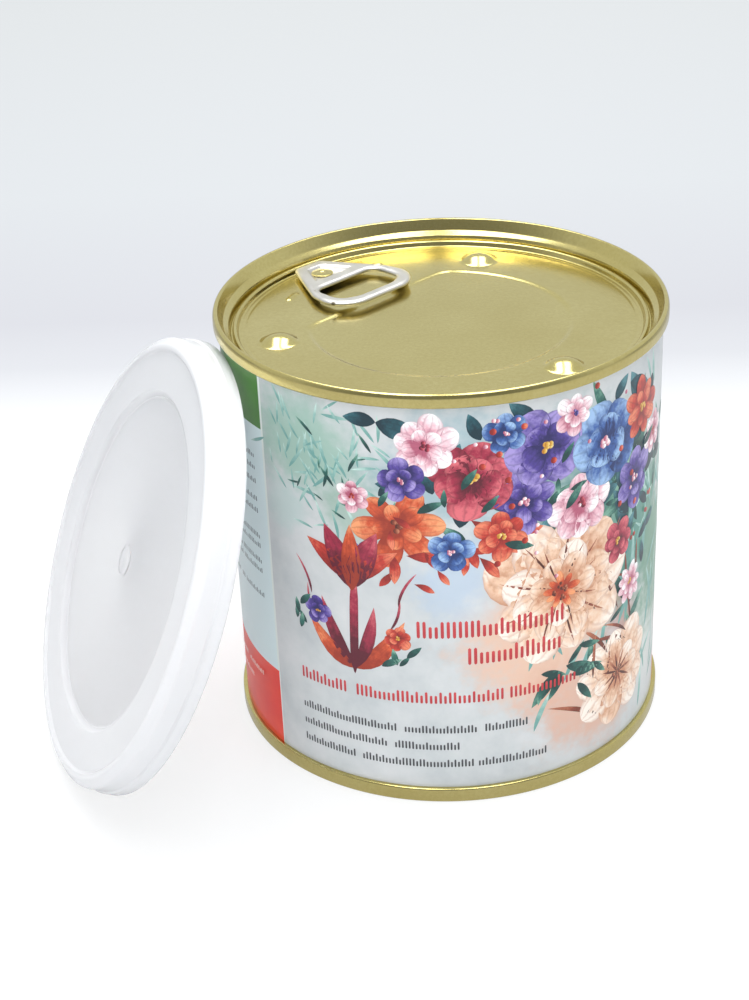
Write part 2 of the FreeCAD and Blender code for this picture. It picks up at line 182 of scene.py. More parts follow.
def tone(code):
    """Linear colour of an sRGB hex value."""
    part = np.array([int(code[i:i + 2], 16) for i in (1, 3, 5)]) / 255
    linear = np.where(part <= 0.04045, part / 12.92, ((part + 0.055) / 1.055) ** 2.4)
    return (*linear.tolist(), 1.0)


def put(tree, kind, inputs=(), out=0, stops=(), **settings):
    """Adds a node with its properties and ramp stops, fills or links its inputs, and gives an output of it.

    Inputs are a list, in the order of the node's sockets, or a dictionary by socket name or number."""
    made = tree.nodes.new("ShaderNode" + kind)
    for key, value in settings.items():
        setattr(made, key, value)
    for key, value in (inputs.items() if isinstance(inputs, dict) else enumerate(inputs)):
        if isinstance(value, bpy.types.NodeSocket):
            tree.links.new(value, made.inputs[key])
        else:
            made.inputs[key].default_value = value
    for i, (position, code) in enumerate(stops):
        ramp = made.color_ramp.elements
        element = ramp[i] if i < 2 else ramp.new(position)
        element.position = position
        element.color = tone(code)
    return made.outputs[out] if made.outputs else made


def calc(tree, operation, *inputs):
    """The result of a math node."""
    return put(tree, "Math", inputs, operation=operation)


def blend(tree, share, base, over):
    """A colour that goes from base to over as the share goes from 0 to 1."""
    return put(tree, "Mix", {0: share, 6: base, 7: over}, out=2, data_type="RGBA")


def noise(tree, place, scale, detail, roughness=0.5):
    """Cloudy noise between 0 and 1."""
    return put(tree, "TexNoise", {"Vector": place, "Scale": scale, "Detail": detail, "Roughness": roughness})


def remap(tree, value, source=(0.0, 1.0), target=(0.0, 1.0), **settings):
    """A value carried from the source range to the target range, and held inside it."""
    inputs = {"Value": value, "From Min": source[0], "From Max": source[1],
              "To Min": target[0], "To Max": target[1]}
    return put(tree, "MapRange", inputs, **settings)


def start_material(name):
    """A node material, its empty tree and its output node."""
    made = bpy.data.materials.new(name)
    made.use_nodes = True
    tree = made.node_tree
    tree.nodes.clear()
    return made, tree, put(tree, "OutputMaterial")


def cover(tree, out, inputs):
    """Ends a material's tree in the standard surface shader."""
    tree.links.new(put(tree, "BsdfPrincipled", inputs), out.inputs[0])


# ---------------------------------------------------------------- materials

VARNISH = {"Roughness": 0.36, "Coat Weight": 0.2, "Coat Roughness": 0.12}
HAIR_LINE = 0.35               # half the unprinted line beside the green block
WELD_MARGIN = 3                # unprinted steel on each side of the weld


def varnish_relief(tree):
    """Roller varnish on sheet steel is very slightly wavy, about 2 mm from crest to crest."""
    solid = put(tree, "TexCoord", out="Object")
    waves = noise(tree, solid, 450.0, 2.0)
    return put(tree, "Bump", {"Height": waves, "Strength": 0.05, "Distance": 0.0002})


def wash(tree, base, place, ragged, centre, size, code, strength):
    """A soft blot of watercolour: strongest at its centre, gone at its ragged edge."""
    away = put(tree, "VectorMath", [place, (*centre, 0)], operation="SUBTRACT")
    away = put(tree, "VectorMath", [away, (*size, 1)], operation="DIVIDE")
    away = put(tree, "VectorMath", [away], operation="LENGTH", out="Value")
    away = calc(tree, "ADD", away, ragged)
    share = remap(tree, away, (1.0, 0.25), (0.0, strength), interpolation_type="SMOOTHSTEP")
    return blend(tree, share, base, tone(code))


def lithographed_tinplate():
    """Offset-printed and varnished tinplate: soft pale inks under an even gloss that whitens at the sides."""
    made, tree, out = start_material("lithographed_tinplate")
    place = put(tree, "Attribute", attribute_name="sheet", out="Vector")
    across = put(tree, "SeparateXYZ", [place], out=0)
    up = put(tree, "SeparateXYZ", [place], out=1)
    cloud = noise(tree, place, 0.055, 5.0, 0.62)
    fine = noise(tree, place, 0.5, 4.0)
    ragged = calc(tree, "MULTIPLY_ADD", cloud, 1.6, -0.8)
    ragged = calc(tree, "ADD", calc(tree, "MULTIPLY_ADD", fine, 0.5, -0.25), ragged)
    colour = put(tree, "ValToRGB", [cloud], stops=[(0.3, "#b7bdc0"), (0.7, "#d5d6d7"), (0.5, "#c8cccd")])
    for blot in WASHES:
        colour = wash(tree, colour, place, ragged, *blot)
    # the side panel runs round the back, from the left of the flowers to beyond their right
    left = calc(tree, "LESS_THAN", across, SIDE_LEFT)
    right = calc(tree, "GREATER_THAN", across, SIDE_RIGHT)
    side = calc(tree, "MAXIMUM", left, right)
    colour = blend(tree, side, colour, blend(tree, cloud, tone("#d2e6e9"), tone("#deecee")))
    green = put(tree, "ValToRGB", [cloud], stops=[(0.35, "#336f14"), (0.65, "#408021")])
    top = calc(tree, "GREATER_THAN", up, GREEN_FOOT)
    colour = blend(tree, calc(tree, "MULTIPLY", side, top), colour, green)
    # an unprinted hair line parts the side panel from the flowers
    edge = calc(tree, "ABSOLUTE", calc(tree, "ADD", across, -SIDE_LEFT))
    colour = blend(tree, calc(tree, "LESS_THAN", edge, HAIR_LINE), colour, tone("#e3ebe6"))
    # the red band rises from the right of the flowers to its full height at the back
    slope = calc(tree, "MULTIPLY_ADD", across, RED_SLOPE, RED_START - RED_SLOPE * RED_RIGHT)
    slope = calc(tree, "MINIMUM", slope, RED_TOP)
    under = calc(tree, "LESS_THAN", up, slope)
    climb = calc(tree, "MULTIPLY", calc(tree, "GREATER_THAN", across, RED_RIGHT), under)
    foot = calc(tree, "MULTIPLY", left, calc(tree, "LESS_THAN", up, RED_TOP))
    red = put(tree, "ValToRGB", [cloud], stops=[(0.35, "#ea2209"), (0.65, "#f43a18")])
    colour = blend(tree, calc(tree, "MAXIMUM", foot, climb), colour, red)
    # unprinted steel shows beside the welded side seam at the back
    weld = calc(tree, "GREATER_THAN", calc(tree, "ABSOLUTE", across), math.pi * BODY_RADIUS - WELD_MARGIN)
    colour = blend(tree, weld, colour, tone("#b9b49a"))
    cover(tree, out, {"Base Color": colour, "Normal": varnish_relief(tree), **VARNISH})
    return made


def printed_ink(name, stops, edge, veins):
    """Ink laid like watercolour: it pools at a stroke's rim, thins at its tip and shows fine veins.

    The stroke's own field holds how far along it a point is, how far across, and a tint for all of it."""
    made, tree, out = start_material(name)
    stroke = put(tree, "Attribute", attribute_name="stroke", out="Vector")
    solid = put(tree, "TexCoord", out="Object")
    along, across, tint = (put(tree, "SeparateXYZ", [stroke], out=axis) for axis in range(3))
    blots = noise(tree, solid, 420.0, 4.0, 0.65)
    drift = calc(tree, "MULTIPLY_ADD", blots, 1.1, along)
    drift = calc(tree, "MULTIPLY_ADD", tint, 0.5, drift)
    drift = calc(tree, "SUBTRACT", drift, 0.92)
    colour = put(tree, "ValToRGB", [drift], stops=stops)
    # veins are the crests of a sine across the stroke, which the blots bend
    ribs = calc(tree, "MULTIPLY_ADD", across, 11.0, calc(tree, "MULTIPLY", blots, 5.0))
    ribs = calc(tree, "MAXIMUM", calc(tree, "SINE", ribs), 0.0)
    ribs = calc(tree, "MULTIPLY", calc(tree, "POWER", ribs, 3.0), veins)
    colour = blend(tree, ribs, colour, tone(edge))
    rim = remap(tree, calc(tree, "ABSOLUTE", across), (0.72, 1.0), (0.0, 0.7))
    rim = calc(tree, "MULTIPLY", rim, calc(tree, "MULTIPLY_ADD", blots, 1.6, -0.1))
    colour = blend(tree, rim, colour, tone(edge))
    cover(tree, out, {"Base Color": colour, "Normal": varnish_relief(tree), **VARNISH})
    return made


def gold_lacquered_tinplate():
    """Tinplate under baked gold lacquer: a warm satin mirror with a faint grain and mottle."""
    made, tree, out = start_material("gold_lacquered_tinplate")
    solid = put(tree, "TexCoord", out="Object")
    # rolling grain, about 0.6 mm across, as coarse as it needs to show, and many times as long
    rolled = put(tree, "Mapping", {0: solid, "Rotation": (0, 0, 0.5), "Scale": (60, 1600, 400)})
    grain = noise(tree, rolled, 1.0, 3.0)
    mottle = noise(tree, solid, 1300.0, 3.0, 0.7)
    drift = noise(tree, solid, 45.0, 2.0)
    colour = put(tree, "ValToRGB", [drift], stops=[(0.3, "#cbbd7c"), (0.7, "#d4c788")])
    haze = remap(tree, mottle, (0.35, 0.65), (0.0, 0.3))
    colour = blend(tree, haze, colour, tone("#b5a55c"))
    rough = remap(tree, mottle, target=(0.13, 0.22))
    relief = calc(tree, "MULTIPLY_ADD", mottle, 0.6, grain)
    relief = put(tree, "Bump", {"Height": relief, "Strength": 0.1, "Distance": 0.0001})
    cover(tree, out, {"Base Color": colour, "Metallic": 1.0, "Roughness": rough, "Normal": relief})
    return made


def bright_tinplate():
    """Bare bright tinplate of the pull tab: white metal with forming scratches, and a small spot of painted
    shade on the curl where the rim dips beside the finger hole.
    """
    made, tree, out = start_material("bright_tinplate")
    solid = put(tree, "TexCoord", out="Object")
    drawn = put(tree, "Mapping", {0: solid, "Rotation": (0, 0, 0.9), "Scale": (150, 2600, 900)})
    scratch = noise(tree, drawn, 1.0, 3.0)
    haze = noise(tree, solid, 300.0, 4.0)
    colour = blend(tree, haze, tone("#c6c3bd"), tone("#d8d5cf"))
    # painted shade: a small dark spot on the curl beside the end of the finger hole, where the rim dips and
    # lies in shade
    dip_shade = put(tree, "VectorMath", [solid, TAB_DIP_SHADE], operation="DISTANCE", out="Value")
    dip_shade = remap(tree, dip_shade, (0.0007, 0.0003))
    colour = blend(tree, dip_shade, colour, tone("#6a6457"))
    rough = remap(tree, haze, target=(0.3, 0.44))
    relief = put(tree, "Bump", {"Height": scratch, "Strength": 0.08, "Distance": 0.0001})
    cover(tree, out, {"Base Color": colour, "Metallic": 1.0, "Roughness": rough, "Normal": relief})
    return made


def natural_polyethylene():
    """Moulded low-density polyethylene: milky and waxy, clearer in its thin middle than at its shoulder."""
    made, tree, out = start_material("natural_polyethylene")
    clearness = put(tree, "Attribute", attribute_name="clearness", out="Fac")
    cover(tree, out, {"Base Color": tone("#fcfcfe"), "Roughness": 0.2, "IOR": 1.5,
                      "Transmission Weight": clearness})
    return made


# ---------------------------------------------------------------- the label, flat: a runs round, z up

LABEL_FOOT, LABEL_HEAD = 3.6, 98.9         # the print ends where the two seams cover the wall
SIDE_LEFT, SIDE_RIGHT = -44.8, 84.0        # the flowers fill the label between these, the side panel the rest
GREEN_FOOT = 85.5                          # the side panel is green from here up
RED_TOP = 23.4                             # and red from here down, at the back
RED_RIGHT, RED_START, RED_SLOPE = 69.8, 10.5, 0.42         # where the red begins, how high, and its climb
# centre (a, z), half size, colour and strength of each blot of watercolour behind the flowers
WASHES = [
    ((-33, 86), (20, 15), "#94bcab", 0.8), ((-20, 72), (13, 11), "#8fb3a1", 0.6),
    ((-38, 70), (9, 10), "#b9d0cc", 0.6), ((6, 84), (26, 18), "#8fb1ba", 0.7),
    ((32, 82), (26, 17), "#6f9c9a", 0.75), ((40, 58), (24, 30), "#4c8a7c", 0.95),
    ((30, 70), (16, 12), "#39786f", 0.7), ((50, 74), (12, 18), "#a9cdb5", 0.6),
    ((22, 40), (25, 24), "#e6bda4", 0.9), ((36, 20), (24, 18), "#dcae97", 0.85),
    ((46, 34), (10, 10), "#b9674c", 0.5), ((2, 58), (12, 15), "#b3c7dc", 0.65),
    ((60, 26), (14, 26), "#d6dcd6", 0.7), ((56, 57), (13, 25), "#4f8f86", 0.85),
    ((64, 46), (17, 32), "#6b9880", 1.0), ((73, 66), (8, 22), "#b9d2c9", 0.7),
]

STROKE_COLUMNS = ("a", "z", "angle", "length", "width", "bend", "skew", "point", "blunt", "tint")
FIRST_LIFT, STROKE_LIFT = 0.02, 0.0003     # the lowest ink over the wall, and each stroke over the last
BAR_SLIMNESS = 0.27                        # a bar's half width over the pitch of its row
BAR_GAP = 0.75                             # half a gap between groups of bars, over the pitch
SHORT_BARS, SHORTENING = 0.45, 0.3         # the share of bars that are shorter, and by how much

chance = np.random.default_rng(7)
layers = []                                # (ink, strokes) from the lowest to the topmost


def strokes(**values):
    """Rows that describe strokes, one row each; a single number holds for all of them."""
    defaults = {"bend": 0, "skew": 1, "point": 2, "blunt": 1, "tint": 0.5}
    filled = np.broadcast_arrays(*(np.asarray({**defaults, **values}[key], float) for key in STROKE_COLUMNS))
    return np.stack([np.atleast_1d(column) for column in filled], -1)


def wrap(flat_a, flat_z, lift):
    """Wraps flat label places round the can, lift outside its wall: the angle is a over the radius."""
    turn = flat_a / BODY_RADIUS
    radius = BODY_RADIUS + lift
    return np.stack([radius * np.sin(turn), -radius * np.cos(turn), flat_z + 0 * turn], -1)


def paint(name, table, finish, along, across):
    """A piece of print: every stroke is a blade whose midline bends as a parabola.

    At s along it, its half width is width * (1 - |2 s^skew - 1|^point)^blunt.  The table's last column is how
    far the stroke lies over the wall.  Strokes that would leave the label are left out."""
    s = (1 - np.cos(np.linspace(0, math.pi, along)))[None, None, :] / 2
    v = np.linspace(-1, 1, across)[None, :, None]
    a, z, angle, length, width, bend, skew, point, blunt, tint, lift = (
        column[:, None, None] for column in table.T)
    half = width * np.clip(1 - np.abs(2 * s ** skew - 1) ** point, 0, 1) ** blunt
    x = length * s + 0 * v
    y = v * half + bend * s * s
    points = wrap(a + x * np.cos(angle) - y * np.sin(angle), z + x * np.sin(angle) + y * np.cos(angle), lift)
    inside = (points[..., 2].min((1, 2)) > LABEL_FOOT) & (points[..., 2].max((1, 2)) < LABEL_HEAD)
    points, tint, count = points[inside], tint[inside], int(inside.sum())
    faces = grid_faces(across, along)
    faces = (faces[None] + (np.arange(count) * along * across)[:, None, None]).reshape(-1, 4)
    field = np.stack(np.broadcast_arrays(s, v, tint), -1)
    print_layer = piece(name, points, faces, finish, "printed_tinplate",
                        fields={"stroke": field.reshape(-1, 3)})
    # ink has no thickness to the eye, so it throws no shade on the sheet under it
    print_layer.visible_shadow = print_layer.visible_diffuse = False


def ring_of(count, centre, radius, width, inner=0.0, start=0.0, **more):
    """Petals that stand round a centre, from the inner distance out to about the radius."""
    angle = start + np.arange(count) * math.tau / count + chance.uniform(-0.06, 0.06, count)
    wobble = 1 + 0.12 * chance.uniform(-1, 1, count)
    shape = {"skew": 1.5, "point": 2.2, "blunt": 0.6, **more}
    return strokes(a=centre[0] + inner * np.cos(angle), z=centre[1] + inner * np.sin(angle), angle=angle,
                   length=(radius - inner) * wobble, width=width * wobble, tint=chance.uniform(0, 1, count),
                   bend=chance.uniform(-0.12, 0.12, count) * radius, **shape)


def dots(count, centre, spread, size):
    """Small round dots scattered about a centre."""
    angle = chance.uniform(0, math.tau, count)
    reach = spread * np.sqrt(chance.uniform(0, 1, count))
    return strokes(a=centre[0] + reach * np.cos(angle) - size, z=centre[1] + reach * np.sin(angle), angle=0,
                   length=2 * size, width=size, blunt=0.5, tint=chance.uniform(0, 1, count))


def spray(count, centre, spread, heading, sway, length, width, curl=0.2, **more):
    """Leaves scattered over an oval of the label, all leaning about one heading."""
    place = chance.normal(0, 0.5, (count, 2)).clip(-1, 1) * spread + centre
    grown = length * chance.uniform(0.6, 1.25, count)
    return strokes(a=place[:, 0], z=place[:, 1], angle=heading + chance.normal(0, sway, count), length=grown,
                   width=width * grown / length, bend=curl * grown * chance.uniform(-1, 1, count),
                   tint=chance.uniform(0, 1, count), **{"skew": 0.85, **more})


def lay(ink, *tables):
    """Puts strokes of one ink over what is already drawn."""
    layers.append((ink, np.concatenate(tables)))


def flower(centre, radius, ink, heart, petals, start, width=0.36):
    """A double flower: an outer and an inner ring of petals, and a heart of dots."""
    lay(ink, ring_of(petals[0], centre, radius, radius * width, start=start))
    lay(ink, ring_of(petals[1], centre, radius * 0.62, radius * width * 0.75, start=start + 0.5))
    lay(heart, dots(7, centre, radius * 0.14, radius * 0.07))


def row_of_marks(left, right, z, height, pitch, groups):
    """One line of plain upright bars in groups, in place of a line of print."""
    edges = np.cumsum([0, *groups]) / np.sum(groups)
    place = np.arange(left, right, pitch)
    share = (place - left) / (right - left)
    from_edge = np.min(np.abs(share[:, None] - edges[None, 1:-1]), 1, initial=1) * (right - left)
    place = place[from_edge > BAR_GAP * pitch]
    tall = height * (1 - SHORTENING * (chance.uniform(0, 1, len(place)) < SHORT_BARS))
    return strokes(a=place + pitch / 2, z=z, angle=math.pi / 2, length=tall, width=pitch * BAR_SLIMNESS,
                   point=20, tint=chance.uniform(0, 1, len(place)))


# tones of each ink from thick to thin, and the tone that pools at a stroke's rim
INKS = {
    "crimson": ("#5e1127", "#a52342", "#dd6a74", "#55101f"),
    "scarlet": ("#8a1f1b", "#c43527", "#e9825f", "#701812"),
    "orange": ("#9c3018", "#d2532a", "#f2a06c", "#8c2c16"),
    "violet": ("#2a2361", "#54419a", "#a595d4", "#211b52"),
    "blue": ("#182f68", "#3a62a8", "#9dbfe6", "#162a58"),
    "blush": ("#b55a74", "#eab8c4", "#ffffff", "#963f5f"),
    "cream": ("#c98a66", "#ecc6a8", "#faeee2", "#b06f50"),
    "umber": ("#54241a", "#8f4029", "#c67c5a", "#471d14"),
    "leaf": ("#15413f", "#2f6d62", "#7fb29c", "#153b37"),
    "deep": ("#0f3340", "#1f5864", "#55919a", "#0d2b36"),
    "mist": ("#6ea29c", "#97c0b8", "#cbe2da", "#79aaa3"),
    "stamen": ("#b9781c", "#e3b23e", "#f7e096", "#9c641a"),
    "rose_print": ("#b92f36", "#c4353a", "#cc4345", "#b02a32"),
    "dark_print": ("#3a3b40", "#44454a", "#505156", "#36373b"),
    "grey_print": ("#4d6268", "#5d7278", "#70848a", "#495d63"),
    "pale_print": ("#f3c9bb", "#f6d6ca", "#fae4dc", "#f0c0b0"),
}


def draw_foliage():
    """Pale grass and dark leaves that the flowers stand in."""
    lay("mist", spray(46, (44, 44), (26, 44), 1.4, 0.5, 13, 0.75))
    lay("mist", spray(70, (-27, 82), (17, 17), 2.2, 0.8, 6, 0.36))
    lay("mist", spray(20, (60, 24), (12, 30), 1.3, 0.5, 12, 0.6))
    lay("leaf", spray(34, (46, 60), (18, 40), 1.2, 0.7, 9.5, 1.1))
    lay("leaf", spray(26, (30, 78), (46, 15), 1.2, 1.0, 8, 1.5))
    lay("leaf", spray(16, (-22, 78), (12, 14), 2.4, 0.8, 4.5, 0.34))
    lay("mist", spray(16, (52, 70), (16, 30), 1.7, 0.5, 8, 0.6))
    lay("deep", spray(44, (26, 80), (40, 15), 1.2, 1.2, 8.5, 2.0),
        spray(24, (50, 66), (14, 28), 1.3, 0.8, 9, 1.7))


def draw_great_blossom():
    """The large cream blossom of the middle, with brown hatching, and a smaller one beside it."""
    great, small = (26, 51), (44, 22)
    lay("umber", spray(16, (42, 38), (10, 24), 1.9, 0.5, 13, 0.55, curl=0.4))
    lay("cream", ring_of(9, small, 13, 4.2, start=0.3))
    lay("cream", ring_of(7, small, 8.5, 2.8, start=0.8))
    lay("umber", ring_of(11, small, 5.2, 0.28, skew=1, blunt=1), dots(8, small, 1.8, 0.5))
    lay("leaf", spray(9, (30, 30), (14, 5), -1.1, 0.7, 9, 1.3))
    lay("cream", ring_of(9, great, 18.5, 6.0))
    lay("umber", ring_of(9, great, 15, 0.26, start=0.05, inner=5, skew=1, blunt=1))
    lay("cream", ring_of(8, great, 13.5, 4.6, start=0.35))
    lay("umber", ring_of(8, great, 11, 0.22, start=0.38, inner=3, skew=1, blunt=1))
    lay("cream", ring_of(7, great, 8.6, 3.1, start=0.1))
    lay("orange", ring_of(9, great, 4.6, 0.9, start=0.2))
    lay("umber", dots(14, great, 2.2, 0.42))


def draw_spray():
    """The band of garden flowers that leans over the great blossom."""
    flower((-10, 71), 9.6, "orange", "umber", (6, 5), 0.2, 0.28)
    lay("scarlet", spray(18, (0, 66), (16, 9), -0.6, 0.9, 7, 1.2, skew=1.3))
    flower((31, 71), 8.0, "blush", "crimson", (8, 6), 0.1)
    flower((17, 75), 7.4, "violet", "blush", (7, 5), 0.3, 0.3)
    flower((6, 82), 9.4, "crimson", "stamen", (6, 5), 0.4, 0.46)
    flower((22, 87), 9.2, "violet", "stamen", (6, 4), 0.1, 0.46)
    flower((38, 83), 10.2, "blue", "blush", (5, 4), 0.7, 0.5)
    flower((-4, 90), 7.0, "blush", "crimson", (7, 5), 0.3)
    flower((49, 70), 7.2, "violet", "blush", (6, 5), 0.5)
    flower((52, 86), 7.4, "scarlet", "stamen", (8, 5), 0.2, 0.28)
    flower((12, 68), 6.0, "scarlet", "stamen", (6, 5), 0.6)
    flower((1, 65), 5.0, "blue", "blush", (5, 4), 0.2, 0.42)
    flower((-19, 62), 4.4, "violet", "stamen", (5, 4), 0.9, 0.42)
    flower((43, 57), 5.4, "crimson", "stamen", (6, 5), 0.1)
    flower((59, 77), 5.4, "blush", "scarlet", (6, 5), 0.2)
    flower((-9, 82), 5.0, "violet", "blush", (5, 4), 0.5, 0.42)
    flower((29, 93), 4.8, "blush", "violet", (6, 5), 0.5)
    flower((13, 92), 4.8, "blue", "blush", (5, 4), 0.5, 0.42)
    flower((-20, 77), 4.0, "blush", "scarlet", (6, 5), 0.5)
    lay("leaf", spray(12, (20, 76), (34, 10), 0.9, 1.2, 5.5, 0.9))
    lay("scarlet", dots(16, (28, 77), 24, 0.75), dots(9, (52, 60), 9, 0.6))
    lay("blush", dots(16, (24, 80), 26, 0.5))
    flower((48, 44), 5.2, "blush", "stamen", (9, 7), 0.0, 0.24)


def draw_tulip():
    """The bold tulip of the lower left: its petals, a stem, two pairs of curved leaves and thin tendrils."""
    foot_a, foot_z = -21.0, 33.5
    lay("orange", strokes(a=foot_a, z=foot_z, angle=[2.75, 0.5], length=[15, 17], width=[2.0, 2.2],
                          bend=[-6, 6.5], skew=0.9))
    lay("crimson", strokes(a=foot_a, z=foot_z, angle=[2.25, 1.05], length=[18, 17], width=[1.7, 1.6],
                           bend=[-4.5, 4], skew=0.9, tint=[0.2, 0.4]))
    lay("crimson", strokes(a=foot_a - 0.2, z=foot_z - 1.5, angle=1.56, length=25, width=1.05, bend=-0.6,
                           point=6, tint=0.3))
    lay("scarlet", strokes(a=foot_a, z=55.5, angle=[2.18, 0.98], length=[13.5, 13.5], width=[2.5, 2.5],
                           bend=[3.8, -3.8], skew=0.9, tint=[0.2, 0.5]))
    lay("crimson", strokes(a=foot_a, z=54, angle=[1.86, 1.27], length=[16, 16], width=[3.0, 3.0],
                           bend=[1.6, -1.6], skew=0.85, tint=[0.1, 0.3]))
    lay("orange", strokes(a=foot_a, z=53.5, angle=1.56, length=16.5, width=2.3, skew=0.8, tint=0.2))
    lay("crimson", strokes(a=[-30.5, -31.5, -12.5, -10.5], z=[44, 50, 45, 51], angle=[2.2, 1.6, 0.9, 1.5],
                           length=[8, 9, 8, 9], width=0.34, bend=[-3.4, 3.6, 3.4, -3.6], point=4))
    flower((-30, 46), 3.6, "violet", "stamen", (5, 4), 0.3, 0.42)
    flower((-11, 43), 3.2, "scarlet", "stamen", (6, 4), 0.3, 0.4)
    lay("leaf", spray(5, (-33, 41), (4, 5), 2.0, 0.6, 5, 0.9),
        spray(4, (-13, 38), (4, 3), 0.8, 0.5, 4.5, 0.8))


def draw_rows():
    """Rows of plain upright bars, in place of lines of print, and the ruled table of the side panel."""
    lay("rose_print", row_of_marks(-7, 26, 43.4, 4.4, 1.3, (7,)), row_of_marks(4, 26, 36.4, 4.4, 1.3, (4,)),
        row_of_marks(-36, 30, 26.4, 3.1, 1.05, (3, 8, 4)))
    lay("dark_print", row_of_marks(-36, 17.5, 18.4, 2.1, 0.78, (11, 8, 5)),
        row_of_marks(-36, 2, 13.9, 2.1, 0.78, (10, 7)),
        row_of_marks(-36, 22, 9.2, 2.1, 0.78, (7, 13, 8)))
    for i, z in enumerate((77.5, 74.5, 71.0, 66.5, 63.5, 57.0, 54.5, 50.5, 48.0, 41.5)):
        lay("grey_print", row_of_marks(-76, -48.6, z, 1.35, 0.75, (3, 5, 2, 6)))
        lay("grey_print", row_of_marks(-112, -82, z - 1, 1.35, 0.75, (4, 6, 3)))
        lay("grey_print", row_of_marks(92, 92 + (26, 33, 20)[i % 3], z + 1, 1.35, 0.75, (5, 3, 6)))
    lay("pale_print", row_of_marks(-74, -52, 18.6, 1.3, 0.8, (4, 3)),
        row_of_marks(-74, -58, 14.6, 1.3, 0.8, (5,)),
        row_of_marks(96, 122, 15.0, 1.5, 0.85, (6, 4)), row_of_marks(-112, -84, 16.0, 1.5, 0.85, (4, 6)))
    left, wide, low, tall = 126, 22, 42, 36
    rule = {"width": 0.14, "point": 40}
    lay("grey_print",
        *(strokes(a=left, z=z, angle=0, length=wide, **rule) for z in np.linspace(low, low + tall, 9)),
        *(strokes(a=a, z=low, angle=math.pi / 2, length=tall, **rule) for a in (left, 138, left + wide)))


def print_label():
    """Draws the label, then makes one piece of the strokes of each ink.

    Every stroke of a flower lies a hair over the last; bars don't touch, so a whole row shares one height."""
    for draw in (draw_foliage, draw_great_blossom, draw_spray, draw_tulip, draw_rows):
        draw()
    inks = {name: printed_ink("ink_" + name, [(0.12, thick), (0.9, thin), (0.5, middle)], rim,
                              0.05 if name.endswith("print") else 0.3)
            for name, (thick, middle, thin, rim) in INKS.items()}
    lift = FIRST_LIFT
    sheets = {ink: [] for ink in INKS}
    for ink, table in layers:
        step = 0.0 if ink.endswith("print") else STROKE_LIFT
        sheets[ink].append(np.column_stack([table, lift + step * np.arange(len(table))]))
        lift += STROKE_LIFT + step * len(table)
    for ink, tables in sheets.items():
        detail = (7, 3) if ink.endswith("print") else (11, 5)
        paint("print_" + ink, np.concatenate(tables), inks[ink], *detail)


# ---------------------------------------------------------------- the can

# the panel's features: azimuths are in degrees, reaches are from the can's axis
DOME_AZIMUTHS, DOME_REACH, DOME_RADIUS, DOME_HEIGHT = (75, 195, 315), 37.2, 4.3, 1.7
SUNK_RADIUS, SUNK_CHORD, SUNK_DEPTH = 29.7, 20.3, 0.35
BEAD_LEAN, BEAD_REACH, BEAD_HALF, BEAD_RADIUS, BEAD_HEIGHT = 20, 37.9, 1.8, 0.9, 0.32
SCORE_RADIUS, SCORE_WIDTH, SCORE_DEPTH = 44.3, 0.22, 0.09
RIVET_FOOT, RIVET_FOOT_HEIGHT = 2.4, 0.5

# the tab: (across, outward) corners of its right half, and the radii of all of them
TAB_EDGE = [(8.95, 18.0), (13.35, 23.35), (12.15, 29.7), (4.0, 44.8)]
TAB_EDGE_RADII = [8, 6, 7, 2, 2, 7, 6, 8]
FINGER_HOLE = [(5.4, 21.05), (9.7, 23.0), (9.6, 31.65)]
FINGER_HOLE_RADII = [5.5, 3.4, 3, 3, 3.4, 5.5]
TAB_MIDDLE = np.array([0.0, 26.2])         # inside the finger hole
TAB_CLEARANCE, TAB_THICKNESS = 0.65, 1.35
CURL_WIDTH, CURL_DROP = 1.2, 0.64          # the curled rim is a quarter of an ellipse at both edges
ISLAND_FOOT, ISLAND_HEAD, ISLAND_MARGIN = 34.65, 42.2, 2.6 # the sunk plate round the rivet
ISLAND_DEPTH, ISLAND_SLOPE = 1.05, 1.3
NOSE_HALF, NOSE_END, NOSE_FLANK = 4.0, 44.8, 8.15 / 15.1   # its half width, its end, how fast it widens
TAB_PITCH, TAB_SWING = 0.6, 0.4            # degrees up at its finger end, and round its rivet
# the place of a spot of painted shade on the tab's curl, where the rim dips beside the end of the finger hole
TAB_DIP_SHADE = tuple((tab_place(np.array(-12.0), np.array(22.4), np.array(98.3)) * MM).tolist())


def make_wall(finish):
    """The printed side wall: a straight cylinder that runs from inside one seam to inside the other."""
    turns = 480
    # the first and the last height lie inside the seams
    height = np.concatenate([[2.8], np.linspace(3.6, 99.4, 60), [100.2]])
    across = (np.arange(turns + 1) / turns - 0.5) * math.tau * BODY_RADIUS
    a, z = np.meshgrid(across, height)
    field = np.stack([a, z, 0 * a], -1)
    piece("printed_wall", wrap(a, z, 0), grid_faces(*a.shape), finish, "printed_tinplate",
          stands_for="tin_body", fields={"sheet": field})


def make_top_seam(finish):
    """The easy-open end's rim, turned: the upper double seam, chuck wall, ledge, groove and crest."""
    corners = [(49.9, 99.0), (51.2, 99.0), (51.2, 101.2), (50.9, 102.2), (50.05, 102.2), (49.0, 99.45),
               (47.7, 98.65), (47.45, 97.4), (47.35, 96.8), (46.85, 96.8), (46.75, 97.9), (45.9, 97.9),
               (45.6, 96.6), (45.0, 96.6)]
    radii = [0, 0.5, 1.6, 0.85, 0.3, 0.8, 0.5, 0.6, 0.2, 0.2, 0.2, 0.8, 0.35, 0]
    turned("top_seam_and_groove", rounded(corners, radii)[::-1], 512, finish, "gold_lacquer_steel",
           stands_for="top_end")


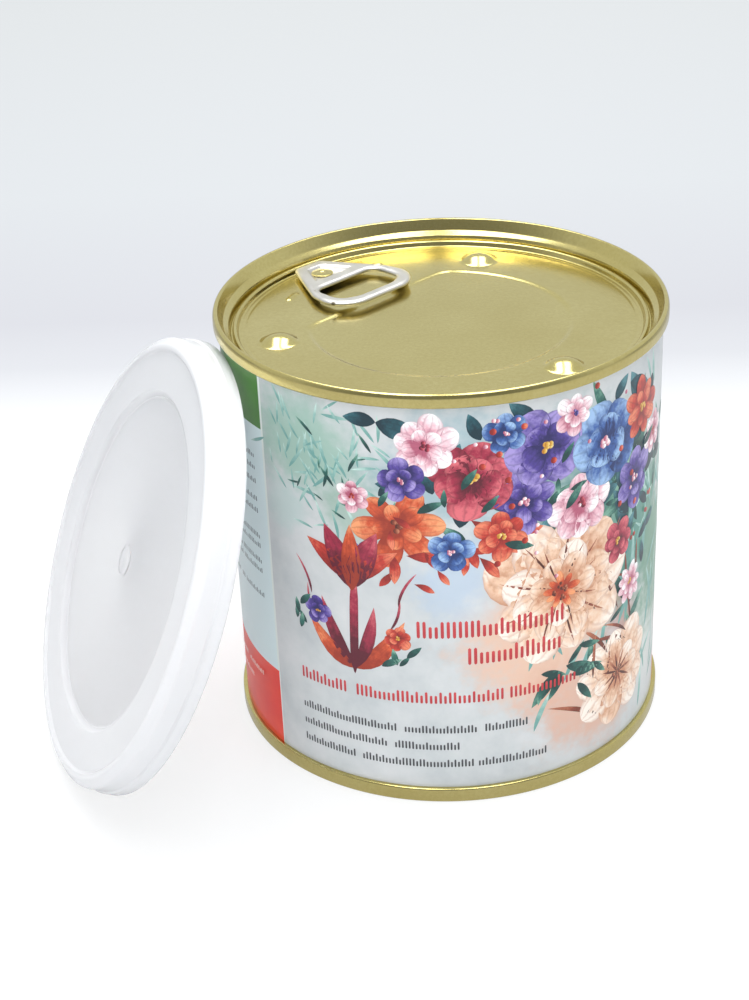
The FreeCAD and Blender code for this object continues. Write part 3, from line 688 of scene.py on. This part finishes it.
def panel_height(x, y):
    """Height of the easy-open panel: its level, and on it domes, beads, a sunk middle, a score and a foot."""
    turn = math.radians(TAB_AZIMUTH - 90)
    u, v = x * math.cos(turn) + y * math.sin(turn), y * math.cos(turn) - x * math.sin(turn)
    height = np.full(np.shape(x), PANEL_LEVEL)
    # each dome is the cap of a ball, with a soft foot
    ball = (DOME_RADIUS ** 2 + DOME_HEIGHT ** 2) / (2 * DOME_HEIGHT)
    for azimuth in np.radians(DOME_AZIMUTHS):
        away = np.hypot(x - DOME_REACH * math.cos(azimuth), y - DOME_REACH * math.sin(azimuth))
        cap = np.sqrt(np.maximum(ball ** 2 - away ** 2, 0)) - (ball - DOME_HEIGHT)
        height = height - soft_least(6, 0, -cap)
    # the sunk middle is a circle cut by a chord; its edge is a soft step
    inside = soft_least(1.2, SUNK_RADIUS - np.hypot(u, v), SUNK_CHORD - v)
    height = height - SUNK_DEPTH * smooth(inside, -0.7, 0.8)
    for side in (-1, 1):
        lean = math.radians(BEAD_LEAN * side)
        bead_u, bead_v = u * math.cos(lean) - v * math.sin(lean), u * math.sin(lean) + v * math.cos(lean)
        away = np.hypot(np.maximum(np.abs(bead_u) - BEAD_HALF, 0), bead_v - BEAD_REACH)
        height = height + BEAD_HEIGHT * (1 - smooth(away, 0, BEAD_RADIUS))
    height = height - SCORE_DEPTH * np.exp(-((np.hypot(x, y) - SCORE_RADIUS) / SCORE_WIDTH) ** 2)
    return height + RIVET_FOOT_HEIGHT * np.exp(-(np.hypot(u, v - RIVET) / RIVET_FOOT) ** 4)


def make_panel(finish):
    """The easy-open panel: rings of points round the axis, lifted by the panel's height."""
    radius = np.concatenate([[0.0], np.linspace(0.5, 24, 36), np.linspace(24.4, 45.0, 76)])[:, None]
    angle = (np.arange(720) * math.tau / 720)[None]
    x, y = radius * np.cos(angle), radius * np.sin(angle)
    points = np.stack([x, y, panel_height(x, y)], -1)
    piece("easy_open_panel", points, grid_faces(*x.shape, wrap_columns=True), finish, "gold_lacquer_steel",
          shell=True)


def make_rivet(finish):
    """The rivet: a turned stem and flat head with a dimple, set at the tab's rivet place."""
    corners = [(0, 97.79), (0.35, 97.79), (0.75, 97.95), (2.6, 97.97), (2.6, 97.62), (1.6, 97.57),
               (1.6, 96.7)]
    profile = rounded(corners, [0, 0.1, 0.2, 0.2, 0.1, 0, 0])
    points = lathe(profile, 64) + tab_place(0.0, RIVET, 0.0)
    piece("rivet", points, grid_faces(*points.shape[:2], wrap_columns=True), finish, "gold_lacquer_steel",
          shell=True)


def make_bottom_end(finish):
    """The bottom end: the lower double seam and a panel with stepped rings, one turned profile."""
    corners = [(49.9, 3.5), (51.0, 3.5), (51.0, 0), (49.8, 0), (49.1, 4.2), (47.5, 5.2), (45.7, 5.2),
               (44.5, 4.2), (40.0, 4.2), (39.4, 4.8), (31.0, 4.8), (30.4, 5.4), (0, 5.4)]
    radii = [0, 0.45, 0.35, 0.35, 0.5, 0.5, 0.5, 0.4, 0.3, 0.3, 0.3, 0.3, 0]
    turned("bottom_seam_and_panel", rounded(corners, radii), 480, finish, "gold_lacquer_steel",
           stands_for="bottom_end", shell=True)


def tab_rays():
    """Places on the tab as rays from the finger hole to the outer edge, and how far each is from an edge.

    The rays start at even steps along the outer edge and point at the middle of the finger hole; along each,
    places crowd at both ends, where the rim curls."""
    outline = rounded(mirrored(TAB_EDGE), TAB_EDGE_RADII, True)
    opening = rounded(mirrored(FINGER_HOLE), FINGER_HOLE_RADII, True)
    rim = resampled(outline, 320)
    angle = np.arctan2(rim[:, 1] - TAB_MIDDLE[1], rim[:, 0] - TAB_MIDDLE[0])
    inner = np.interp(angle, *polar(resampled(opening, 900), TAB_MIDDLE), period=math.tau)[:, None]
    width = np.hypot(*(rim - TAB_MIDDLE).T)[:, None] - inner
    near_edge = CURL_WIDTH * (1 - np.cos(np.linspace(0, math.pi / 2, 9)))
    between = CURL_WIDTH + (width - 2 * CURL_WIDTH) * np.linspace(0, 1, 44)[None, 1:-1]
    radius = inner + np.concatenate([near_edge + 0 * width, between, width - near_edge[::-1]], 1)
    u = TAB_MIDDLE[0] + radius * np.cos(angle)[:, None]
    v = TAB_MIDDLE[1] + radius * np.sin(angle)[:, None]
    return u, v, np.minimum(distance_to(outline, u, v), distance_to(opening, u, v))


def island_sink(u, v):
    """How far the tab's plate is sunk round its rivet: an island that keeps away from the nose's flanks."""
    slant = math.sqrt(1 + NOSE_FLANK ** 2)
    half = NOSE_HALF + (NOSE_END - v) * NOSE_FLANK - ISLAND_MARGIN * slant
    inside = soft_least(2.5, (half - np.abs(u)) / slant, v - ISLAND_FOOT, ISLAND_HEAD - v)
    return ISLAND_DEPTH * smooth(inside, 0.0, ISLAND_SLOPE)


def make_tab(finish):
    """The ring-pull: an upper and a lower face over the tab's rays, joined where the rim curls."""
    u, v, off = tab_rays()
    curl = CURL_DROP * (1 - np.sqrt(1 - (1 - np.minimum(off / CURL_WIDTH, 1)) ** 2))
    curl[:, [0, -1]] = CURL_DROP
    bottom = PANEL_LEVEL + TAB_CLEARANCE + math.tan(math.radians(TAB_PITCH)) * (RIVET - v)
    upper = bottom + TAB_THICKNESS - curl - island_sink(u, v)
    lower = bottom + curl
    across = np.concatenate([u, u[:, ::-1]], 1)
    outward = np.concatenate([v, v[:, ::-1]], 1) - RIVET
    height = np.concatenate([upper, lower[:, ::-1]], 1)
    swing = math.radians(TAB_SWING)
    points = tab_place(across * math.cos(swing) - outward * math.sin(swing),
                       RIVET + across * math.sin(swing) + outward * math.cos(swing), height)
    piece("pull_tab_plate", points, grid_faces(*height.shape, True, True), finish, "tab_steel",
          stands_for="pull_tab", shell=True)


# ---------------------------------------------------------------- the overcap

# (distance from the axis, height) of the cap's corners, as if it lay with its skirt down
CAP_OUTSIDE = [(0, -1.8), (3.15, -1.8), (3.325, -1.55), (3.675, -1.55), (3.85, -1.8), (37.6, -1.8),
               (39.4, -0.6), (48.2, -0.6), (48.8, 0), (49.9, 0), (51.9, -1.7), (52.05, -5.15), (52.5, -5.6),
               (52.55, -6.5), (52.55, -8.2)]
CAP_INSIDE = [(51.7, -8.2), (51.35, -7.85), (50.8, -6.6), (51.35, -5.5), (51.35, -1.55), (49.9, -0.7),
              (48.9, -0.7), (48.4, -1.3), (39.6, -1.3), (37.8, -2.5), (0, -2.5)]
CAP_RADII = [0, 0.1, 0.1, 0.1, 0.1, 0.9, 0.9, 0.4, 0.4, 1.2, 1.3, 0.4, 0.3, 0.4, 0.25,
             0, 0.2, 0.5, 0.5, 0.9, 0.5, 0.3, 0.3, 0.5, 0.5, 0]
CAP_RISE, CAP_AZIMUTH = 24, 199.3          # degrees: its disc over the upright, and where it stands
LIP_DEPTH, LIP_RADIUS, LIP_ROUND = 7.95, 52.3, 0.25        # the round of the skirt's lip that it stands on
CAP_GAP = 0.1                              # between the lip's reach and the wall
# how clear the middle is, and what the rings that begin between two distances take from it
CLEAREST = 0.72
CLOUDED = [(0.17, 37.4, 39.6), (0.13, 48.4, 50.4)]


def make_overcap(finish):
    """The cap: one closed turned profile, leaned so that its lip stands on the floor and against the can."""
    points = lathe(rounded(CAP_OUTSIDE + CAP_INSIDE, CAP_RADII), 288)
    away = np.hypot(points[..., 0], points[..., 1])
    clearness = CLEAREST - sum(share * smooth(away, first, last) for share, first, last in CLOUDED)
    rise, azimuth = math.radians(CAP_RISE), math.radians(CAP_AZIMUTH)
    reach = LIP_DEPTH * math.cos(rise) + LIP_RADIUS * math.sin(rise) + LIP_ROUND
    height = LIP_DEPTH * math.sin(rise) + LIP_RADIUS * math.cos(rise) + LIP_ROUND
    x, y, z = np.moveaxis(points, -1, 0)
    out = x * math.sin(rise) + z * math.cos(rise) + BODY_RADIUS + CAP_GAP + reach
    up = z * math.sin(rise) - x * math.cos(rise) + height
    points = np.stack([out * math.cos(azimuth) - y * math.sin(azimuth),
                       out * math.sin(azimuth) + y * math.cos(azimuth), up], -1)
    piece("overcap_shell", points, grid_faces(*points.shape[:2], wrap_columns=True), finish,
          "clear_polyethylene", stands_for="overcap", fields={"clearness": np.stack([clearness] * 3, -1)},
          shell=True)


# ---------------------------------------------------------------- floor, light and camera

# name, place, aim, size (so wide, so deep), power, and whether the metal mirrors it
LAMPS = [
    ("softbox_left", (-0.17, 0.06, 0.85), (0, 0.06, 0.08), (0.26, 1.2), 5.2, True),
    ("softbox_right", (0.17, 0.06, 0.85), (0, 0.06, 0.08), (0.26, 1.2), 4.6, True),
    ("front_fill", (-0.3, -1.2, 0.9), (0, 0, 0.05), (0.8, 0.8), 6.0, False),
]
CAMERA_PLACE = (0, -406.97, 272.49)
CAMERA_YAW, CAMERA_PITCH, CAMERA_ROLL = -0.0406, 0.4987, -0.0431
EVEN_SHARE = 0.72              # the share of the floor that glows evenly; the rest takes shadows
MIRRORED_LESS = -0.45          # the metal and the varnish mirror a duller floor than the eye sees


def in_scene(name, data):
    """A new object of the scene that shows some data."""
    thing = bpy.data.objects.new(name, data)
    bpy.context.scene.collection.objects.link(thing)
    return thing


def make_floor():
    """A pale seamless floor: white near the can and cool grey behind it; it keeps a part of the shadows."""
    made, tree, out = start_material("studio_floor")
    place = put(tree, "TexCoord", out="Object")
    far = remap(tree, put(tree, "SeparateXYZ", [place], out=1), (0.12, 0.67))
    colour = put(tree, "ValToRGB", [far], stops=[(0.025, "#ffffff"), (1.0, "#d1d5d7"), (0.08, "#e2e4e9"),
                                                 (0.13, "#c5c7cf"), (0.2, "#b8b9c3"), (0.44, "#c6cbd0")])
    camera, glossy, through = (put(tree, "LightPath", out=f"Is {ray} Ray")
                               for ray in ("Camera", "Glossy", "Transmission"))
    seen = calc(tree, "MAXIMUM", calc(tree, "MAXIMUM", camera, glossy), through)
    level = calc(tree, "MULTIPLY_ADD", glossy, MIRRORED_LESS, 1.0)
    glow = put(tree, "Emission", {0: colour, 1: level})
    matt = put(tree, "BsdfDiffuse", {0: tone("#f4f5f6")})
    mixed = put(tree, "MixShader", [calc(tree, "MULTIPLY", seen, EVEN_SHARE), matt, glow])
    tree.links.new(mixed, out.inputs[0])
    mesh = bpy.data.meshes.new("floor")
    mesh.from_pydata([(-4, -3, 0), (4, -3, 0), (4, 6, 0), (-4, 6, 0)], [], [(0, 1, 2, 3)])
    floor = in_scene("floor", mesh)
    mesh.materials.append(made)


def make_world():
    """A pale room: light all round and above, duller on the side that the camera stands on."""
    world = bpy.data.worlds.new("pale_room")
    bpy.context.scene.world = world
    world.use_nodes = True
    tree = world.node_tree
    tree.nodes.clear()
    toward = put(tree, "TexCoord", out="Generated")
    front = put(tree, "SeparateXYZ", [toward], out=1)
    share = remap(tree, front, (-0.9, 0.15), interpolation_type="SMOOTHSTEP")
    colour = blend(tree, share, tone("#8f9296"), tone("#e4e8ea"))
    glow = put(tree, "Background", {0: colour, 1: 1.0})
    tree.links.new(glow, put(tree, "OutputWorld").inputs[0])


def make_lamp(name, place, aim, size, power, mirrored):
    """A soft lamp at a place, turned to face its aim; places are in metres."""
    light = bpy.data.lights.new(name, "AREA")
    light.energy = power
    light.shape = "RECTANGLE"
    light.size, light.size_y = size
    lamp = in_scene(name, light)
    back = np.array(place, float) - np.array(aim, float)
    back /= np.linalg.norm(back)
    right = np.cross([0, 1, 0], back)
    right /= np.linalg.norm(right)
    turn = np.eye(4)
    turn[:3, 0], turn[:3, 1], turn[:3, 2], turn[:3, 3] = right, np.cross(back, right), back, place
    lamp.matrix_world = Matrix(turn.tolist())
    lamp.visible_glossy = mirrored


def make_camera():
    """The camera above and in front of the can, turned by yaw, pitch and a slight roll."""
    yaw, pitch, roll = CAMERA_YAW, CAMERA_PITCH, CAMERA_ROLL
    ahead = np.array([math.sin(yaw) * math.cos(pitch), math.cos(yaw) * math.cos(pitch), -math.sin(pitch)])
    level = np.array([math.cos(yaw), -math.sin(yaw), 0])
    up = np.cross(level, ahead)
    turn = np.eye(4)
    turn[:3, 0] = math.cos(roll) * level + math.sin(roll) * up
    turn[:3, 1] = math.cos(roll) * up - math.sin(roll) * level
    turn[:3, 2] = -ahead
    turn[:3, 3] = np.array(CAMERA_PLACE) * MM
    lens = bpy.data.cameras.new("camera")
    lens.lens = 70.26
    lens.clip_start = 0.01
    lens.shift_x = -0.0004
    camera = in_scene("camera", lens)
    camera.matrix_world = Matrix(turn.tolist())
    bpy.context.scene.camera = camera


# ---------------------------------------------------------------- the scene

litho = lithographed_tinplate()
gold = gold_lacquered_tinplate()
tab_metal = bright_tinplate()
plastic = natural_polyethylene()

print_label()
make_wall(litho)
make_top_seam(gold)
make_panel(gold)
make_rivet(gold)
make_bottom_end(gold)
make_tab(tab_metal)
make_overcap(plastic)

make_floor()
make_world()
for lamp in LAMPS:
    make_lamp(*lamp)
make_camera()
bpy.context.scene.view_settings.view_transform = "Standard"
